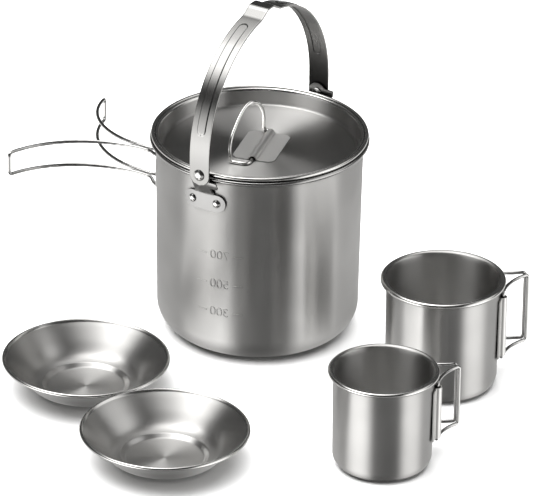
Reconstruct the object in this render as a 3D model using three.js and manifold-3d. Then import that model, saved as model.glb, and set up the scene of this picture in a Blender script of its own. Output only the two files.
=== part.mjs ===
// Camping cook pot set: a pot with its lid and bail, two mugs and two bowls, laid out as a set.
// Millimetres, +Z up. The origin is the centre of the pot's base, and the set faces -Y.

import * as THREE from 'three';
import { mergeVertices } from 'three/addons/utils/BufferGeometryUtils.js';
import Module from 'manifold-3d';

const wasm = await Module();
wasm.setup();

// ---- Driving dimensions ----

const GAP = 0.3;              // between pieces that touch
const SHEET = 0.8;            // pressed sheet of brackets and walls
const WIRE_R = 1.0;           // every bent wire
const STUB = 1.4;             // straight wire left outside a sleeve, before its first bend

const POT = { r: 58.5, baseR: 57.2, height: 115.9, corner: 16, beadR: 60.5, bead: 1.4 };
const LID = { wallR: 57.2, floorR: 55.4, floorZ: 109.3, beadR: 60.1, bead: 1.15, beadZ: 118.75 };

const BAIL = { azimuth: 59.4, pivotZ: 119.2, r: 64.9, leg: 11, width: 12.5, thick: 1.2,
  bumpFoot: 10, bumpTop: 3, bumpRise: 4 };
const EAR = { neckW: 10.7, thick: 1.1, neckR: 63.45, footZ: 100.9, footW: 26, footH: 10.2,
  rivetSpan: 15.2, lugL: 5, lugH: 4.2 };
const EARS = [
  { name: 'front', side: -1, lugDrop: 6 },
  { name: 'back', side: 1, lugDrop: -0.4 },
];
const PIVOT_RIVET = { r: 1.9, head: 3.2, dome: 1.3 };
const FOOT_RIVET = { r: 1.4, head: 2.3, dome: 1.0 };
const HOLE = 0.3;             // how much larger a rivet's hole is, in radius

const BRACKET = { azimuth: 73.8, x: 1.0, y: -1.0, length: 36.4, width: 24.6, channel: 2.6, corner: 3 };
// The ring in its own frame: X along the channel, Y to its left, Z up from the wire's axis.
const RING = [[-0.6, 0, 0], [-25.5, 0, 0], [-24.9, 10.9, 0], [-23.6, 11.6, 7.2], [-20.6, 11.6, 12.5],
  [-15.3, 10.8, 17.5], [-9.1, 9.7, 22], [-3.6, 8.2, 25], [1, 5.6, 25.9], [6, 3.6, 22.4], [11.5, 2.9, 16],
  [14.8, 3.3, 10], [17, 4, 3.8], [19.7, 3.9, 0], [19.7, 0, 0], [0.6, 0, 0]];

const POT_HANDLE = { azimuth: 149.4, hingeSpan: 8.5, hingeR: 60.7, meetR: 76, meetGap: 1.5, arcR: 60,
  sweep: 80, midZ: 81.5, tipRise: 3.3, hingeH: 9.8, meetH: 8.0, tipH: 6.8, sleeve: 16, wing: 5 };
const SLEEVE = { outer: 2.5, inner: 1.6 };

const LARGE_MUG = { name: 'large_mug', x: 103.4, y: -70.2, r: 31.8, baseR: 31.3, height: 63.8, corner: 7,
  beadR: 33.6, bead: 1.4, sleeveZ: [18, 54.5], loopZ: [16, 57], reach: 52.3 };
const SMALL_MUG = { name: 'small_mug', x: 69.6, y: -166.4, r: 27.8, baseR: 27.3, height: 56.5, corner: 7,
  beadR: 29.35, bead: 1.25, sleeveZ: [17, 48], loopZ: [15.2, 50.5], reach: 45.3 };
const MUG_HANDLE = { azimuth: 25.5, hinge: 28, meetGap: 1.6, wing: 4.5 };

const BOWL = { rimR: 45.8, rimZ: 18.4, bead: 1.1, footR: 21.5 };
const BOWLS = [
  { name: 'left_bowl', x: -95, y: -84.5 },
  { name: 'front_bowl', x: -49.3, y: -166.5 },
];

const SIDES = 56;             // of the pot and lid
const MUG_SIDES = 44;
const BOWL_SIDES = 48;
const RIVET_SIDES = 16;

// ---- Materials ----

const satin = new THREE.MeshStandardMaterial({ color: 0xb9b8b5, roughness: 0.32, metalness: 1 });
const sheetSteel = new THREE.MeshStandardMaterial({ color: 0xc4c4c2, roughness: 0.38, metalness: 1 });
const polished = new THREE.MeshStandardMaterial({ color: 0xd2d2d0, roughness: 0.16, metalness: 1 });

// ---- Helpers ----

const rad = THREE.MathUtils.degToRad;
const at = (r, degrees, z = 0) => new THREE.Vector3(r * Math.cos(rad(degrees)), r * Math.sin(rad(degrees)), z);

// Points of an arc from angle a0 to a1 in degrees, as [x, y] pairs.
function arc(cx, cy, r, a0, a1, n) {
  const points = [];
  for (let i = 0; i <= n; i++) {
    const a = rad(a0 + (a1 - a0) * i / n);
    points.push([cx + r * Math.cos(a), cy + r * Math.sin(a)]);
  }
  return points;
}

function shapeOf(points) {
  return new THREE.Shape(points.map(([x, y]) => new THREE.Vector2(x, y)));
}

// A flat outline in X and Y, raised along Z.
function prism(points, z0, z1) {
  const geometry = new THREE.ExtrudeGeometry(shapeOf(points), { depth: z1 - z0, bevelEnabled: false });
  return geometry.translate(0, 0, z0);
}

function rod(r, z0, z1, sides = 20) {
  return prism(arc(0, 0, r, 0, 360 * (1 - 1 / sides), sides - 1), z0, z1);
}

// Turns a profile of [radius, z] points about Z. It runs from the axis, out, up and back in.
function turned(profile, sides) {
  const points = profile.map(([r, z]) => new THREE.Vector2(r, z));
  return new THREE.LatheGeometry(points, sides).rotateX(Math.PI / 2);
}

// A manifold solid from a closed geometry.
function solid(geometry) {
  const bare = geometry.index ? geometry.toNonIndexed() : geometry.clone();
  bare.deleteAttribute('normal');
  bare.deleteAttribute('uv');
  const merged = mergeVertices(bare, 1e-4);
  const index = merged.index.array;
  const triangles = [];
  for (let i = 0; i < index.length; i += 3) {
    const [a, b, c] = [index[i], index[i + 1], index[i + 2]];
    if (a !== b && b !== c && c !== a) triangles.push(a, b, c);
  }
  const vertProperties = new Float32Array(merged.attributes.position.array);
  return new wasm.Manifold(new wasm.Mesh({ numProp: 3, vertProperties, triVerts: new Uint32Array(triangles) }));
}

function geometryOf(body) {
  const mesh = body.getMesh();
  const geometry = new THREE.BufferGeometry();
  geometry.setAttribute('position', new THREE.BufferAttribute(new Float32Array(mesh.vertProperties), 3));
  geometry.setIndex(new THREE.BufferAttribute(new Uint32Array(mesh.triVerts), 1));
  geometry.computeVertexNormals();
  return geometry;
}

const join = (first, ...rest) => rest.reduce((sum, g) => sum.add(solid(g)), solid(first));
const cut = (body, ...tools) => tools.reduce((left, g) => left.subtract(solid(g)), body);

// A path through points with rounded corners. Each corner takes at most 45% of its two sides.
function bentPath(points, bend) {
  const path = new THREE.CurvePath();
  let from = points[0];
  for (let i = 1; i < points.length - 1; i++) {
    const [before, corner, after] = [points[i - 1], points[i], points[i + 1]];
    const trim = Math.min(bend, 0.45 * corner.distanceTo(before), 0.45 * corner.distanceTo(after));
    const start = corner.clone().lerp(before, trim / corner.distanceTo(before));
    const end = corner.clone().lerp(after, trim / corner.distanceTo(after));
    path.add(new THREE.LineCurve3(from, start));
    path.add(new THREE.QuadraticBezierCurve3(start, corner, end));
    from = end;
  }
  path.add(new THREE.LineCurve3(from, points[points.length - 1]));
  return path;
}

function wire(points, bend, step) {
  const path = bentPath(points, bend);
  const section = shapeOf(arc(0, 0, WIRE_R, 0, 300, 5));
  const steps = Math.round(path.getLength() / step);
  return new THREE.ExtrudeGeometry(section, { extrudePath: path, steps, bevelEnabled: false });
}

const set = new THREE.Group();

function place(group, name, geometry, material) {
  const mesh = new THREE.Mesh(geometry, material);
  mesh.name = name;
  group.add(mesh);
  return mesh;
}

function groupAt(x, y, degrees = 0) {
  const group = new THREE.Group();
  group.position.set(x, y, 0);
  group.rotation.z = rad(degrees);
  set.add(group);
  return group;
}

// ---- Pot and lid ----

// A straight-sided vessel: rounded corner, wall, and a solid bead rolled outwards.
function vessel({ r, baseR, height, corner, beadR, bead }, sides) {
  const inside = baseR - corner;
  return turned([
    [0, 0],
    ...arc(inside, corner, corner, -90, 0, 5),
    [r, height - bead - 1.6],
    ...arc(beadR, height, bead, -110, 110, 6),
    [r - SHEET + 0.5, height + bead - 0.5],
    [r - SHEET, height + bead - 1.4],
    ...arc(inside, corner, corner - SHEET, 0, -90, 5),
    [0, SHEET],
  ], sides);
}

function lidPan() {
  const { wallR, floorR, floorZ, beadR, bead, beadZ } = LID;
  const floorTop = floorZ + 0.7;
  return turned([
    [0, floorZ],
    [floorR, floorZ],
    [floorR + 0.8, floorZ + 0.6],
    [wallR, beadZ - 1.8],
    [wallR + 0.8, beadZ - 0.9],
    ...arc(beadR, beadZ, bead, -90, 90, 5),
    [wallR + 1.5, beadZ + 1.0],
    [wallR + 0.5, beadZ + 0.8],
    [wallR - 0.6, beadZ - 0.4],
    [floorR + 0.2, floorTop + 0.7],
    [floorR - 0.6, floorTop],
    [0, floorTop],
  ], SIDES);
}

function buildLidBracket() {
  const { length, width, channel, corner } = BRACKET;
  const z0 = LID.floorZ + 0.7 + GAP;
  const [half, wide] = [length / 2, width / 2];
  const outline = [
    [half, -wide + corner], [half, wide - corner], [half - corner, wide], [-half + corner, wide],
    [-half, wide - corner], [-half, -wide + corner], [-half + corner, -wide], [half - corner, -wide],
  ];
  const plate = prism(outline, z0, z0 + 0.7);
  const along = (r, over) => rod(r, -half - over, half + over, 24).rotateY(Math.PI / 2).translate(0, 0, z0 + 0.6);
  const under = new THREE.BoxGeometry(2 * length, 2 * width, 10).translate(0, 0, z0 - 5);
  return cut(join(plate, along(channel, 0)), along(channel - SHEET, 1), under);
}

function lidRing() {
  return wire(RING.map((point) => new THREE.Vector3(...point)), 5, 2.4);
}

function buildPot() {
  place(set, 'pot_body', vessel(POT, SIDES), satin);
  place(set, 'lid_pan', lidPan(), satin);
  const frame = groupAt(BRACKET.x, BRACKET.y, BRACKET.azimuth);
  place(frame, 'lid_bracket', geometryOf(buildLidBracket()), sheetSteel);
  const ring = place(frame, 'lid_ring', lidRing(), polished);
  ring.position.z = LID.floorZ + 0.7 + GAP + WIRE_R;
}

// ---- Bail, ears and rivets. X runs along the pivot axis and Y across the bail's plane. ----

function arch(r, rise) {
  const { leg, bumpFoot, bumpTop, bumpRise } = BAIL;
  const footAngle = THREE.MathUtils.radToDeg(Math.acos(bumpFoot / r));
  return [
    [r, 0],
    ...arc(0, leg, r, 0, footAngle, 14),
    [bumpTop + 1.5, leg + r + bumpRise - 1.2],
    [bumpTop, leg + r + bumpRise + rise],
    [-bumpTop, leg + r + bumpRise + rise],
    [-bumpTop - 1.5, leg + r + bumpRise - 1.2],
    ...arc(0, leg, r, 180 - footAngle, 180, 14),
    [-r, 0],
  ];
}

function bailBand() {
  const { r, width, thick } = BAIL;
  const outline = [...arch(r + thick / 2, 0.2), ...arch(r - thick / 2, -0.4).reverse()];
  const band = prism(outline, -width / 2, width / 2).rotateX(Math.PI / 2);
  const end = (side) => rod(width / 2, -thick / 2, thick / 2, 32).rotateY(Math.PI / 2).translate(side * r, 0, 0);
  const hole = (side) => rod(PIVOT_RIVET.r + HOLE, -3, 3).rotateY(Math.PI / 2).translate(side * r, 0, 0);
  return cut(join(band, end(-1), end(1)), hole(-1), hole(1));
}

function earSolid(side, lugDrop) {
  const { neckW, thick, neckR, footZ, footW, footH, rivetSpan, lugL, lugH } = EAR;
  const inner = POT.r + GAP;
  const half = thick / 2;
  // The neck in X and Z: up the wall, out past the bead, then up to the pivot.
  const neck = prism([
    [inner, footZ - 2], [inner + thick, footZ - 2], [inner + thick, footZ + 5.2],
    [neckR + half, footZ + 12.6], [neckR + half, BAIL.pivotZ], [neckR - half, BAIL.pivotZ],
    [neckR - half, footZ + 13.1], [inner, footZ + 5.6],
  ], -neckW / 2, neckW / 2).rotateX(Math.PI / 2);
  const tip = rod(neckW / 2, -half, half, 28).rotateY(Math.PI / 2).translate(neckR, 0, BAIL.pivotZ);
  const shell = prism([...arc(0, 0, inner + thick, -16, 16, 10), ...arc(0, 0, inner, 16, -16, 10)],
    footZ - 8, footZ + 8);
  const capR = footH / 2;
  const stadium = [...arc(footW / 2 - capR, 0, capR, -90, 90, 8), ...arc(capR - footW / 2, 0, capR, 90, 270, 8)];
  // The stadium's long side runs along Y once it faces outwards along X.
  const foot = prism(stadium, 40, 80).rotateX(Math.PI / 2).rotateZ(Math.PI / 2).translate(0, 0, footZ);
  const lugEnd = neckW / 2 + lugL;
  const lug = new THREE.BoxGeometry(thick, lugEnd, lugH);
  lug.translate(neckR, side * lugEnd / 2, BAIL.pivotZ - lugDrop);
  const hole = (r, y, z) => rod(r + HOLE, -6, 6).rotateY(Math.PI / 2).translate(neckR - 2, y, z);
  const body = join(neck, tip, lug).add(solid(shell).intersect(solid(foot)));
  const footHole = (turn) => rod(FOOT_RIVET.r + HOLE, inner - 3, inner + 6)
    .rotateY(Math.PI / 2).rotateZ(turn).translate(0, 0, footZ);
  const turn = rivetSpan / 2 / POT.r;
  return cut(body, hole(PIVOT_RIVET.r, 0, BAIL.pivotZ), footHole(-turn), footHole(turn));
}

// A rivet along +X: flat inner head, shank and domed outer head. x0 and x1 bound what it holds.
function rivetGeometry({ r, head, dome }, x0, x1, innerHead) {
  const start = x0 - GAP - innerHead;
  const end = x1 + GAP;
  return turned([
    [0, start], [head * 0.85, start], [head * 0.85, start + innerHead], [r, start + innerHead],
    [r, end], [head, end], [head * 0.92, end + dome * 0.5], [head * 0.62, end + dome * 0.88], [0, end + dome],
  ], RIVET_SIDES).rotateY(Math.PI / 2);
}

function footRivet() {
  const outer = POT.r + GAP + EAR.thick;
  const { r, head, dome } = FOOT_RIVET;
  const end = outer + GAP;
  const start = POT.r + GAP;
  return turned([
    [0, start], [r, start], [r, end], [head, end],
    [head * 0.92, end + dome * 0.5], [head * 0.62, end + dome * 0.88], [0, end + dome],
  ], RIVET_SIDES).rotateY(Math.PI / 2);
}

function buildBail() {
  const frame = groupAt(0, 0, BAIL.azimuth);
  const band = place(frame, 'bail_band', geometryOf(bailBand()), sheetSteel);
  band.position.z = BAIL.pivotZ;
  for (const { name, side, lugDrop } of EARS) {
    const ear = groupAt(0, 0, BAIL.azimuth + (side > 0 ? 0 : 180));
    place(ear, `${name}_ear`, geometryOf(earSolid(-side, lugDrop)), sheetSteel);
    const inner = EAR.neckR - EAR.thick / 2;
    const rivet = rivetGeometry(PIVOT_RIVET, inner, BAIL.r + BAIL.thick / 2, 0.35);
    place(ear, `${name}_pivot_rivet`, rivet, polished).position.z = BAIL.pivotZ;
    for (const [hand, sign] of [['left', -1], ['right', 1]]) {
      const foot = place(ear, `${name}_ear_rivet_${hand}`, footRivet(), polished);
      foot.position.z = EAR.footZ;
      foot.rotation.z = sign * EAR.rivetSpan / 2 / POT.r;
    }
  }
}

// ---- Sleeve brackets and wire handles. X points away from the wall at the bracket. ----

// Sheet that follows a wall of radius wallR, with one half-round channel at each angle in hinges.
function sleeveSolid(wallR, hinges, hingeR, halfAngle, z0, z1) {
  const inner = wallR + GAP;
  const ends = [Math.min(...hinges) - halfAngle, Math.max(...hinges) + halfAngle];
  const sheet = prism([...arc(0, 0, inner + SHEET, ...ends, 12), ...arc(0, 0, inner, ends[1], ends[0], 12)], z0, z1);
  const channel = (angle, r, over) => rod(r, z0 - over, z1 + over, 24).translate(...at(hingeR, angle).toArray());
  const body = join(sheet, ...hinges.map((angle) => channel(angle, SLEEVE.outer, 0)));
  const wall = rod(inner, z0 - 1, z1 + 1, 2 * SIDES);
  return cut(body, ...hinges.map((angle) => channel(angle, SLEEVE.inner, 1)), wall);
}

// A loop of wire: out along plan points at the top, down, and back at the bottom.
// plan rows are [x, y, top z, bottom z]; the first one is the hinge.
function wireLoop(plan, bend, step) {
  const [x, y, top, bottom] = plan[0];
  const middle = (top + bottom) / 2;
  return wire([
    new THREE.Vector3(x, y, middle + 0.6),
    new THREE.Vector3(x, y, top - STUB),
    ...plan.map(([px, py, upper]) => new THREE.Vector3(px, py, upper)),
    ...[...plan].reverse().map(([px, py, , lower]) => new THREE.Vector3(px, py, lower)),
    new THREE.Vector3(x, y, bottom + STUB),
    new THREE.Vector3(x, y, middle - 0.6),
  ], bend, step);
}

// side is 1 or -1. The wire runs in from its hinge to the middle plane and curves away again.
function potHandlePlan(side) {
  const { hingeSpan, hingeR, meetR, meetGap, arcR, sweep, midZ, hingeH, meetH, tipH, tipRise } = POT_HANDLE;
  const plan = [[hingeR, side * hingeSpan, midZ + hingeH, midZ - hingeH]];
  plan.push([hingeR + 6.5, side * (meetGap + 3.6), midZ + hingeH - 0.8, midZ - hingeH + 0.8]);
  const count = 9;
  for (let i = 0; i <= count; i++) {
    const a = rad(-5 + (sweep + 5) * i / count);
    const h = meetH + (tipH - meetH) * i / count;
    const away = arcR * (1 - Math.cos(a));
    const z = midZ + side * tipRise * (i / count) ** 2;
    plan.push([meetR + arcR * Math.sin(a), side * (meetGap + away), z + h, z - h]);
  }
  return plan;
}

function buildPotHandles() {
  const { azimuth, hingeSpan, hingeR, midZ, sleeve } = POT_HANDLE;
  const frame = groupAt(0, 0, azimuth);
  const angle = THREE.MathUtils.radToDeg(Math.atan2(hingeSpan, hingeR));
  const r = Math.hypot(hingeSpan, hingeR);
  const bracket = sleeveSolid(POT.r, [-angle, angle], r, POT_HANDLE.wing, midZ - sleeve / 2, midZ + sleeve / 2);
  place(frame, 'pot_handle_bracket', geometryOf(bracket), sheetSteel);
  place(frame, 'pot_handle_front', wireLoop(potHandlePlan(1), 6, 4), polished);
  place(frame, 'pot_handle_back', wireLoop(potHandlePlan(-1), 6, 4), polished);
}

// An arc as curved as the mug's wall, from the hinge to where the two loops meet.
function mugHandlePlan(mug, side) {
  const hingeR = mug.r + SLEEVE.inner + 0.1;
  const start = at(hingeR, MUG_HANDLE.hinge);
  const end = new THREE.Vector3(mug.reach, MUG_HANDLE.meetGap, 0);
  const middle = start.clone().lerp(end, 0.5);
  const chord = start.distanceTo(end);
  const bow = mug.r + 1.5 - Math.sqrt((mug.r + 1.5) ** 2 - (chord / 2) ** 2);
  const inward = new THREE.Vector3(start.y - end.y, end.x - start.x, 0).normalize().multiplyScalar(-bow);
  const [low, high] = mug.loopZ;
  const count = 5;
  const plan = [];
  for (let i = 0; i <= count; i++) {
    const t = i / count;
    const p = start.clone().lerp(end, t).addScaledVector(inward, 4 * t * (1 - t));
    plan.push([p.x, side * p.y, high, low]);
  }
  return plan;
}

function buildMug(mug) {
  const frame = groupAt(mug.x, mug.y, MUG_HANDLE.azimuth);
  place(frame, `${mug.name}_body`, vessel(mug, MUG_SIDES), satin);
  const hingeR = mug.r + SLEEVE.inner + 0.1;
  const wing = THREE.MathUtils.radToDeg((SLEEVE.outer + MUG_HANDLE.wing) / mug.r);
  for (const [name, side] of [['front', -1], ['back', 1]]) {
    const sleeve = sleeveSolid(mug.r, [side * MUG_HANDLE.hinge], hingeR, wing, ...mug.sleeveZ);
    place(frame, `${mug.name}_${name}_sleeve`, geometryOf(sleeve), sheetSteel);
    place(frame, `${mug.name}_${name}_loop`, wireLoop(mugHandlePlan(mug, side), 4, 3), polished);
  }
}

// ---- Bowls ----

// A flared wall, a rounded knuckle and a small foot, with a bead at the rim.
function bowlBody() {
  const { rimR, rimZ, bead, footR } = BOWL;
  const outside = [[footR, 0], [24.6, 2.4], [28.5, 3.0], [31.8, 4.9], [37, 10.2], [rimR - 0.6, rimZ - 1.6]];
  const inside = [[rimR - 1.5, rimZ - 0.2], [36.3, 10.9], [31.2, 5.8], [28.2, 3.9], [24.9, 3.3], [footR - 2, 0.8]];
  return turned([[0, 0], ...outside, ...arc(rimR, rimZ, bead, -80, 120, 5), ...inside, [0, 0.8]], BOWL_SIDES);
}

buildPot();
buildBail();
buildPotHandles();
buildMug(LARGE_MUG);
buildMug(SMALL_MUG);
for (const { name, x, y } of BOWLS) place(groupAt(x, y), name, bowlBody(), satin);

export default set;
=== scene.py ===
"""Camping cook pot set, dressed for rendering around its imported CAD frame. Lengths here are millimetres."""

import math

import bmesh
import bpy
import numpy as np
from mathutils import Matrix, Vector


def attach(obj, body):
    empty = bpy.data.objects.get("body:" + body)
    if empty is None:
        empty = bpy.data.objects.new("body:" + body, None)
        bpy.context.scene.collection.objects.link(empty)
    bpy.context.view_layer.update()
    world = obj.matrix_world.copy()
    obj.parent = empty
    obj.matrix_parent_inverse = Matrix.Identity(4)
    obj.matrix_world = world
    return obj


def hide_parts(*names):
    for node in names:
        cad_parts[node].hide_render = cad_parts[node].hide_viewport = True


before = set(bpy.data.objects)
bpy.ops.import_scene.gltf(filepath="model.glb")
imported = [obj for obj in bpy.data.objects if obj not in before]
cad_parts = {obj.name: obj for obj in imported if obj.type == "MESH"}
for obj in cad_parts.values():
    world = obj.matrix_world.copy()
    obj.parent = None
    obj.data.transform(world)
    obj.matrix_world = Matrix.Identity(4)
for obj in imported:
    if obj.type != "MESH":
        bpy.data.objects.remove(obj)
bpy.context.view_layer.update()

MM = 0.001
GAP = 0.3                     # between pieces that touch on the real object
UP = np.array([0.0, 0.0, 1.0])


# ---------------------------------------------------------------- shapes in the plane


def arc(cx, cy, r, a0, a1, n):
    """Points of an arc from angle a0 to a1, in degrees."""
    a = np.radians(np.linspace(a0, a1, n + 1))
    return [(cx + r * math.cos(t), cy + r * math.sin(t)) for t in a]


def spline(points, per=6):
    """A Catmull-Rom curve through the points, with per steps for each stretch."""
    p = np.array(points, float)
    p = np.vstack([2 * p[0] - p[1], p, 2 * p[-1] - p[-2]])
    out = []
    for i in range(1, len(p) - 2):
        a, b, c, d = p[i - 1], p[i], p[i + 1], p[i + 2]
        for k in range(per):
            t = k / per
            out.append(
                0.5 * (2 * b + (c - a) * t + (2 * a - 5 * b + 4 * c - d) * t**2 + (3 * b - a - 3 * c + d) * t**3)
            )
    out.append(p[-2])
    return [tuple(q) for q in out]


def rounded(points, radius, steps=8):
    """A polyline with each inner corner rounded. radius is one number, or one for each corner.

    A corner takes at most a share of each of its two sides, so that neighbours don't overlap.
    """
    straight, share = 1.55, 0.48
    p = [np.array(q, float) for q in points]
    radii = radius if isinstance(radius, (list, tuple)) else [radius] * (len(p) - 2)
    out = [p[0]]
    for before, corner, after, r in zip(p, p[1:], p[2:], radii):
        u, v = before - corner, after - corner
        lu, lv = np.linalg.norm(u), np.linalg.norm(v)
        u, v = u / lu, v / lv
        half = 0.5 * math.acos(max(-1.0, min(1.0, float(u @ v))))
        if half > straight or r == 0:
            out.append(corner)
            continue
        trim = min(r / math.tan(half), share * lu, share * lv)
        r_real = trim * math.tan(half)
        axis = (u + v) / np.linalg.norm(u + v)
        centre = corner + axis * (r_real / math.sin(half))
        a, b = corner + u * trim - centre, corner + v * trim - centre
        turn = math.pi - 2 * half
        for k in range(steps + 1):
            t = k / steps
            q = (math.sin((1 - t) * turn) * a + math.sin(t * turn) * b) / math.sin(turn)
            out.append(centre + q)
    out.append(p[-1])
    return np.array(out)


def distances(path):
    """How far along a path each of its points is."""
    return np.concatenate([[0], np.cumsum(np.linalg.norm(np.diff(path, axis=0), axis=1))])


def at(path, length, s):
    """The point at distance s along a path, from the path and its distances."""
    return np.array([np.interp(s, length, path[:, k]) for k in range(path.shape[1])])


def resample(points, step):
    """The same path in equal steps."""
    p = np.array(points, float)
    d = distances(p)
    n = max(2, int(round(d[-1] / step)))
    s = np.linspace(0, d[-1], n + 1)
    return np.stack([np.interp(s, d, p[:, k]) for k in range(p.shape[1])], axis=1)


def polar(r, degrees, z=0.0):
    """The point at a radius and an angle round Z."""
    a = math.radians(degrees)
    return np.array([r * math.cos(a), r * math.sin(a), z])


# ---------------------------------------------------------------- meshes


def new_object(name, verts, faces, material, place=None, sharp=40):
    """A piece from vertices in millimetres. place is a matrix, also in millimetres, that puts it in the frame."""
    place = place or Matrix()
    mesh = bpy.data.meshes.new(name)
    mesh.from_pydata([tuple(np.array(v) * MM) for v in verts], [], faces)
    bm = bmesh.new()
    bm.from_mesh(mesh)
    bmesh.ops.remove_doubles(bm, verts=bm.verts, dist=1e-7)
    bmesh.ops.recalc_face_normals(bm, faces=bm.faces)
    bm.to_mesh(mesh)
    bm.free()
    mesh.shade_smooth()
    mesh.set_sharp_from_angle(angle=math.radians(sharp))
    mesh.materials.append(material)
    obj = bpy.data.objects.new(name, mesh)
    bpy.context.collection.objects.link(obj)
    obj.location = place.translation * MM
    obj.rotation_euler = place.to_euler()
    bpy.context.view_layer.update()
    return obj


def repaint(obj, material, chosen):
    """Gives the faces that chosen(face) picks a second material."""
    obj.data.materials.append(material)
    for face in obj.data.polygons:
        if chosen(face):
            face.material_index = 1
    return obj


def beyond(radius, height):
    """Picks the faces outside a radius and above a height, in millimetres."""
    def chosen(face):
        x, y, z = face.center / MM
        return math.hypot(x, y) > radius and z > height
    return chosen


def settle(obj, body, nodes):
    """obj stands for the CAD nodes and moves with the body."""
    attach(obj, body)
    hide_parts(*nodes)
    return obj


def lathe(profile, sides):
    """Turns a closed profile of (r, z) about Z. Its ends lie on the axis."""
    verts, faces, rings = [], [], []
    for r, z in profile:
        if r < 1e-6:
            rings.append([len(verts)])
            verts.append((0, 0, z))
        else:
            rings.append(list(range(len(verts), len(verts) + sides)))
            verts += [(r * math.cos(a), r * math.sin(a), z) for a in np.arange(sides) * 2 * math.pi / sides]
    for a, b in zip(rings, rings[1:]):
        for i in range(sides):
            j = (i + 1) % sides
            if len(a) == 1 and len(b) > 1:
                faces.append((a[0], b[i], b[j]))
            elif len(b) == 1 and len(a) > 1:
                faces.append((a[i], b[0], a[j]))
            elif len(a) > 1:
                faces.append((a[i], b[i], b[j], a[j]))
    return verts, faces


def sweep(path, radius, sides, squash=None):
    """A round wire along a path, with rounded ends. squash is a (direction, factor) that flattens it."""
    p = np.array(path, float)
    last = len(p) - 1
    tangents = np.gradient(p, axis=0)
    tangents /= np.linalg.norm(tangents, axis=1)[:, None]
    ref = UP if abs(tangents[0] @ UP) < 0.9 else np.array([1.0, 0, 0])
    u = np.cross(tangents[0], ref)
    u /= np.linalg.norm(u)
    frames = []
    for tangent in tangents:
        u = u - tangent * (u @ tangent)
        u /= np.linalg.norm(u)
        frames.append((u.copy(), np.cross(tangent, u)))
    # A ring has its point on the path, its share of the radius, and how far it is pushed ahead.
    rings = [(0, 0.55, -0.25), (0, 0.9, 0.0)]
    rings += [(i, 1.0, 0.0) for i in range(last + 1)]
    rings += [(last, 0.9, 0.0), (last, 0.55, 0.25)]
    angles = np.arange(sides) * 2 * math.pi / sides
    verts, faces = [], []
    for i, share, ahead in rings:
        a, b = frames[i]
        centre = p[i] + tangents[i] * ahead * radius
        for t in angles:
            offset = radius * share * (math.cos(t) * a + math.sin(t) * b)
            if squash is not None:
                axis, factor = squash
                offset = offset - axis * (offset @ axis) * (1 - factor)
            verts.append(centre + offset)
    for k in range(len(rings) - 1):
        a, b = k * sides, (k + 1) * sides
        for i in range(sides):
            j = (i + 1) % sides
            faces.append((a + i, a + j, b + j, b + i))
    faces.append(tuple(range(sides))[::-1])
    faces.append(tuple(range(len(verts) - sides, len(verts))))
    return verts, faces


def merge(parts):
    """Several (verts, faces) pairs as one."""
    verts, faces = [], []
    for v, f in parts:
        base = len(verts)
        verts += [tuple(q) for q in v]
        faces += [tuple(i + base for i in face) for face in f]
    return verts, faces


def sheet_solid(outline, holes, bend, thick, step, relief=None):
    """Pressed sheet, from a flat outline in (s, w) that is cut in a grid of that step.

    bend(s, w) gives the sheet's middle point and outward normal there, and relief(s, w) how far it is pressed out.
    """
    bm = bmesh.new()
    rings = []
    for loop in [outline] + holes:
        vs = [bm.verts.new((x, y, 0)) for x, y in loop]
        rings += [bm.edges.new((vs[i], vs[(i + 1) % len(vs)])) for i in range(len(vs))]
    bmesh.ops.triangle_fill(bm, use_beauty=True, use_dissolve=False, edges=rings)
    box = np.array(outline)
    low, high = box.min(axis=0), box.max(axis=0)
    for axis in (0, 1):
        count = int((high[axis] - low[axis]) / step[axis])
        for k in range(1, count + 1):
            at = low[axis] + (high[axis] - low[axis]) * k / (count + 1)
            where, normal = [0, 0, 0], [0, 0, 0]
            where[axis], normal[axis] = at, 1
            geometry = bm.verts[:] + bm.edges[:] + bm.faces[:]
            bmesh.ops.bisect_plane(bm, geom=geometry, dist=1e-4, plane_co=where, plane_no=normal)
    bm.verts.ensure_lookup_table()
    flat = np.array([v.co[:2] for v in bm.verts])
    tops, bottoms = [], []
    for s, w in flat:
        middle, normal = bend(s, w)
        out = relief(s, w) if relief else 0.0
        tops.append(middle + normal * (out + thick / 2))
        bottoms.append(middle + normal * (out - thick / 2))
    n = len(flat)
    faces = []
    for f in bm.faces:
        ids = [v.index for v in f.verts]
        faces.append(tuple(ids))
        faces.append(tuple(n + i for i in reversed(ids)))
    for e in [e for e in bm.edges if len(e.link_faces) == 1]:
        loop = e.link_loops[0]
        a, b = loop.vert.index, loop.link_loop_next.vert.index
        faces.append((b, a, n + a, n + b))
    bm.free()
    return tops + bottoms, faces


def soften(obj, width):
    """Rounds the sharp edges of a piece."""
    bevel = obj.modifiers.new("soft_edges", "BEVEL")
    bevel.width = width * MM
    bevel.segments = 2
    bevel.limit_method = "ANGLE"
    bevel.angle_limit = math.radians(50)
    return obj


def placed(x, y, z=0.0, degrees=0.0):
    """A matrix that turns a piece round Z and then moves it."""
    return Matrix.Translation((x, y, z)) @ Matrix.Rotation(math.radians(degrees), 4, "Z")


# ---------------------------------------------------------------- materials


def node(tree, kind, inputs=None, **settings):
    """A shader node. inputs gives a socket its value, or the output that is linked to it."""
    made = tree.nodes.new("ShaderNode" + kind)
    for key, value in settings.items():
        setattr(made, key, value)
    for key, value in (inputs or {}).items():
        if isinstance(value, bpy.types.NodeSocket):
            tree.links.new(value, made.inputs[key])
        else:
            made.inputs[key].default_value = value
    return made


def combined(tree, operation, a, b):
    """Two numbers through a Math node."""
    return node(tree, "Math", {0: a, 1: b}, operation=operation).outputs[0]


def ranged(tree, value, low, high, to_low, to_high, **settings):
    """A number carried from one range to another."""
    limits = {"Value": value, "From Min": low, "From Max": high, "To Min": to_low, "To Max": to_high}
    return node(tree, "MapRange", limits, **settings).outputs["Result"]


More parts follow.
